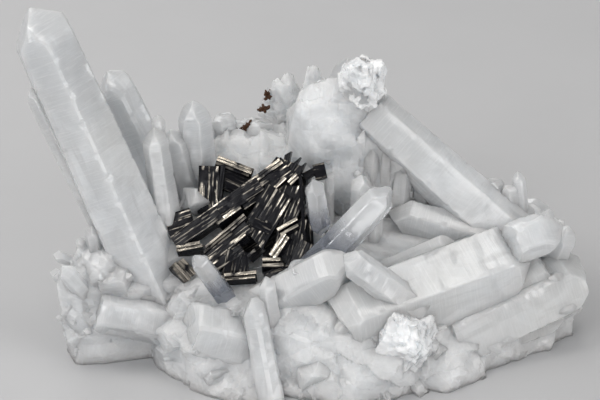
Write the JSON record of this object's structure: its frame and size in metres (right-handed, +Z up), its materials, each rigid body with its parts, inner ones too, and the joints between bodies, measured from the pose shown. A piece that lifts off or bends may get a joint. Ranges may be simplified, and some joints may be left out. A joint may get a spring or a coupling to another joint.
{
  "type": "sphalerite on quartz mineral specimen",
  "caption": "Cluster of milky quartz points fanning out from a rough bed, with a group of black striated sphalerite crystals in its hollow; cut flat to rest on its base.",
  "frame": {"origin": "middle of the bounding box, on the flat cut that the specimen rests on", "axes": "+X along the specimen's length, with the tall point leaning to -X; -Y is the front, where the black crystals show; +Z up"},
  "size_m": [0.1148, 0.0712, 0.0701],
  "materials": {
    "milky_quartz": "milky, translucent, vitreous faces with fine cross striations",
    "clear_quartz": "clear, faintly smoky, vitreous",
    "sphalerite": "near black, submetallic to adamantine, striated, bronze glints"
  },
  "bodies": {
    "root": {"quartz_cluster": "milky_quartz", "clear_point_front": "clear_quartz", "clear_point_long": "clear_quartz", "clear_point_oval": "clear_quartz", "clear_point_block": "clear_quartz", "sphalerite_main": "sphalerite", "sphalerite_back": "sphalerite", "sphalerite_spur": "sphalerite", "sphalerite_nub": "sphalerite", "speck_dart": "sphalerite", "speck_star": "sphalerite", "speck_cap_low": "sphalerite", "speck_cap_high": "sphalerite"}
  },
  "joints": []
}
